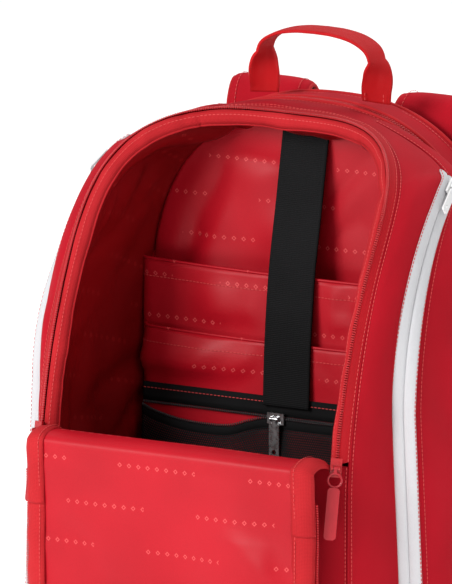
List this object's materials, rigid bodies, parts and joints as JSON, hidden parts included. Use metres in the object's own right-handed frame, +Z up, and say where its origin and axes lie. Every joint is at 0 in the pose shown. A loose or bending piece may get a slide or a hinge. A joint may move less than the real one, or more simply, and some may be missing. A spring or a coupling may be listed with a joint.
{
  "type": "racket sports backpack",
  "caption": "Soft racket sports backpack standing open, with a fold-down front flap, side zip pockets, inner laptop sleeve, rear racket compartment, grab handle and padded shoulder straps.",
  "frame": {"origin": "centre of the flat underside of the base panel, which rests on the floor", "axes": "+Z up, +Y from the front flap towards the wearer's back, +X to the viewer's right when facing the front flap"},
  "size_m": [0.3946, 0.4416, 0.5419],
  "materials": {
    "red_fabric": "woven polyester, satin",
    "red_lining": "thin nylon lining, slightly glossy",
    "dark_lining": "dark nylon lining",
    "coral_webbing": "ribbed polyester webbing",
    "red_tape": "woven zip tape",
    "red_teeth": "coil teeth",
    "white_zip": "woven zip tape with coil teeth",
    "black_mesh": "open knitted mesh",
    "black_elastic": "ribbed elastic",
    "black_tape": "woven zip tape with coil teeth",
    "padded_mesh": "spacer mesh over foam",
    "silver": "satin cast metal",
    "red_slider": "painted zip slider",
    "red_pull": "moulded tab on a wire ring",
    "white_slider": "painted zip slider",
    "black_plastic": "moulded nylon",
    "base_board": "coated fabric over a stiffening board"
  },
  "bodies": {
    "main_body": {"base_panel": "base_board", "front_lower_panel": "red_fabric", "top_gusset": "red_fabric", "divider_panel": "red_lining", "laptop_sleeve": "red_lining", "slip_pocket": "red_lining", "mesh_pocket": "black_mesh", "mesh_zip_upper": "black_tape", "mesh_zip_lower": "black_tape", "main_zip_tape": "red_tape", "main_zip_teeth": "red_teeth", "racket_zip_front": "red_tape", "front_strip_left": "red_fabric", "front_strip_right": "red_fabric", "inner_wall_left": "red_lining", "inner_wall_right": "red_lining", "shoulder_panel_left": "red_fabric", "shoulder_panel_right": "red_fabric", "side_zip_front_left": "white_zip", "side_zip_front_right": "white_zip", "side_zip_shoulder_left": "white_zip", "side_zip_shoulder_right": "white_zip"},
    "flap_lower": {"flap_lower_panel": "red_fabric", "flap_lower_zip": "red_tape"},
    "flap_middle": {"flap_middle_panel": "red_fabric", "flap_middle_zip": "red_tape"},
    "flap_upper": {"flap_upper_panel": "red_fabric", "flap_upper_zip": "red_tape"},
    "rear_shell": {"rear_gusset": "red_fabric", "back_panel": "dark_lining", "back_pads": "padded_mesh", "racket_zip_rear": "red_tape", "webbing_anchor_left": "black_elastic", "webbing_anchor_right": "black_elastic"},
    "handle": {"handle_webbing": "coral_webbing"},
    "elastic": {"elastic_strap": "black_elastic"},
    "mesh_slider_body": {"mesh_slider": "silver"},
    "mesh_pull_body": {"mesh_pull": "silver"},
    "racket_slider_upper_body": {"racket_slider_upper": "red_slider"},
    "racket_pull_upper_body": {"racket_pull_upper": "red_pull"},
    "racket_slider_lower_body": {"racket_slider_lower": "red_slider"},
    "racket_pull_lower_body": {"racket_pull_lower": "red_pull"},
    "side_pocket_left": {"side_panel_left": "red_fabric", "side_zip_rear_left": "white_zip"},
    "strap_left": {"shoulder_strap_left": "red_fabric"},
    "lock_left": {"ladder_lock_left": "black_plastic"},
    "webbing_left": {"lower_webbing_left": "black_elastic"},
    "main_slider_left_body": {"main_slider_left": "red_slider"},
    "main_pull_left_body": {"main_pull_left": "red_pull"},
    "side_slider_left_body": {"side_slider_left": "white_slider"},
    "side_pull_left_body": {"side_pull_left": "white_slider"},
    "side_pocket_right": {"side_panel_right": "red_fabric", "side_zip_rear_right": "white_zip"},
    "strap_right": {"shoulder_strap_right": "red_fabric"},
    "lock_right": {"ladder_lock_right": "black_plastic"},
    "webbing_right": {"lower_webbing_right": "black_elastic"},
    "main_slider_right_body": {"main_slider_right": "red_slider"},
    "main_pull_right_body": {"main_pull_right": "red_pull"},
    "side_slider_right_body": {"side_slider_right": "white_slider"},
    "side_pull_right_body": {"side_pull_right": "white_slider"}
  },
  "joints": [
    {"name": "flap_fold", "type": "hinge", "parent": "main_body", "child": "flap_lower", "pos_m": [0, -0.1555, 0.232], "axis": [-1, 0, 0], "range_deg": [0, 194.5]},
    {"name": "flap_bend_lower", "type": "hinge", "parent": "flap_lower", "child": "flap_middle", "pos_m": [0, -0.1723, 0.13676], "axis": [-1, 0, 0], "range_deg": [0, 13]},
    {"name": "flap_bend_upper", "type": "hinge", "parent": "flap_middle", "child": "flap_upper", "pos_m": [0, -0.1761, 0.01641], "axis": [1, 0, 0], "range_deg": [0, 53]},
    {"name": "racket_compartment", "type": "hinge", "parent": "main_body", "child": "rear_shell", "pos_m": [0, 0.103, 0.002], "axis": [-1, 0, 0], "range_deg": [0, 12]},
    {"name": "handle_swing", "type": "hinge", "parent": "rear_shell", "child": "handle", "pos_m": [0, 0.073, 0.481], "axis": [1, 0, 0], "range_deg": [-45, 45], "stiffness_Nm_per_rad": 0.05},
    {"name": "elastic_lift", "type": "hinge", "parent": "main_body", "child": "elastic", "pos_m": [0, 0.0515, 0.464], "axis": [-1, 0, 0], "range_deg": [0, 20]},
    {"name": "mesh_slider_travel", "type": "slide", "parent": "main_body", "child": "mesh_slider_body", "axis": [1, 0, 0], "range_m": [0, 0.125]},
    {"name": "mesh_pull_swing", "type": "hinge", "parent": "mesh_slider_body", "child": "mesh_pull_body", "pos_m": [-0.009, 0.0145, 0.228], "axis": [-1, 0, 0], "range_deg": [0, 150]},
    {"name": "racket_slider_upper_travel", "type": "slide", "parent": "main_body", "child": "racket_slider_upper_body", "axis": [0, 0, 1], "range_m": [0, 0.05]},
    {"name": "racket_pull_upper_swing", "type": "hinge", "parent": "racket_slider_upper_body", "child": "racket_pull_upper_body", "pos_m": [-0.1611, 0.066, 0.237], "axis": [0, 1, 0], "range_deg": [0, 150]},
    {"name": "racket_slider_lower_travel", "type": "slide", "parent": "main_body", "child": "racket_slider_lower_body", "axis": [0, 0, 1], "range_m": [-0.15, 0]},
    {"name": "racket_pull_lower_swing", "type": "hinge", "parent": "racket_slider_lower_body", "child": "racket_pull_lower_body", "pos_m": [-0.1611, 0.066, 0.196], "axis": [0, 1, 0], "range_deg": [0, 150]},
    {"name": "side_pocket_left_open", "type": "hinge", "parent": "main_body", "child": "side_pocket_left", "pos_m": [-0.156, 0.06, 0.1], "axis": [0, 0, -1], "range_deg": [0, 14]},
    {"name": "strap_left_swing", "type": "hinge", "parent": "rear_shell", "child": "strap_left", "pos_m": [-0.075, 0.112, 0.449], "axis": [1, 0, 0], "range_deg": [0, 14]},
    {"name": "lock_left_pivot", "type": "hinge", "parent": "strap_left", "child": "lock_left", "pos_m": [-0.1115, 0.1495, 0.2085], "axis": [1, 0, 0], "range_deg": [-10, 10]},
    {"name": "webbing_left_swing", "type": "hinge", "parent": "rear_shell", "child": "webbing_left", "pos_m": [-0.13, 0.1105, 0.042], "axis": [1, 0, 0], "range_deg": [-8, 4]},
    {"name": "main_slider_left_travel", "type": "slide", "parent": "main_body", "child": "main_slider_left_body", "axis": [0, 0.1738, 0.9848], "range_m": [0, 0.038]},
    {"name": "main_pull_left_swing", "type": "hinge", "parent": "main_slider_left_body", "child": "main_pull_left_body", "pos_m": [-0.13712, -0.14309, 0.23497], "axis": [-0.9095, 0.4093, -0.0722], "range_deg": [0, 150]},
    {"name": "side_slider_left_travel", "type": "hinge", "parent": "main_body", "child": "side_slider_left_body", "pos_m": [-0.14473, 0.09667, 0.27], "axis": [0.9864, -0.1581, -0.044], "range_deg": [0, 28]},
    {"name": "side_pull_left_swing", "type": "hinge", "parent": "side_slider_left_body", "child": "side_pull_left_body", "pos_m": [-0.15771, 0.01016, 0.43459], "axis": [-0.1577, 0.507, -0.8474], "range_deg": [0, 150]},
    {"name": "side_pocket_right_open", "type": "hinge", "parent": "main_body", "child": "side_pocket_right", "pos_m": [0.156, 0.06, 0.1], "axis": [0, 0, 1], "range_deg": [0, 14]},
    {"name": "strap_right_swing", "type": "hinge", "parent": "rear_shell", "child": "strap_right", "pos_m": [0.075, 0.112, 0.449], "axis": [1, 0, 0], "range_deg": [0, 14]},
    {"name": "lock_right_pivot", "type": "hinge", "parent": "strap_right", "child": "lock_right", "pos_m": [0.1115, 0.1495, 0.2085], "axis": [1, 0, 0], "range_deg": [-10, 10]},
    {"name": "webbing_right_swing", "type": "hinge", "parent": "rear_shell", "child": "webbing_right", "pos_m": [0.13, 0.1105, 0.042], "axis": [1, 0, 0], "range_deg": [-8, 4]},
    {"name": "main_slider_right_travel", "type": "slide", "parent": "main_body", "child": "main_slider_right_body", "axis": [0, 0.1738, 0.9848], "range_m": [0, 0.038]},
    {"name": "main_pull_right_swing", "type": "hinge", "parent": "main_slider_right_body", "child": "main_pull_right_body", "pos_m": [0.13712, -0.14309, 0.23497], "axis": [-0.9095, -0.4093, 0.0722], "range_deg": [0, 150]},
    {"name": "side_slider_right_travel", "type": "hinge", "parent": "main_body", "child": "side_slider_right_body", "pos_m": [0.14473, 0.09667, 0.27], "axis": [0.9864, 0.1581, 0.044], "range_deg": [0, 28]},
    {"name": "side_pull_right_swing", "type": "hinge", "parent": "side_slider_right_body", "child": "side_pull_right_body", "pos_m": [0.15771, 0.01016, 0.43459], "axis": [-0.1577, -0.507, 0.8474], "range_deg": [0, 150]}
  ],
  "couplings": [
    {"joint": "flap_bend_lower", "follows": "flap_fold", "ratio": 0.066838},
    {"joint": "flap_bend_upper", "follows": "flap_fold", "ratio": 0.27249}
  ]
}
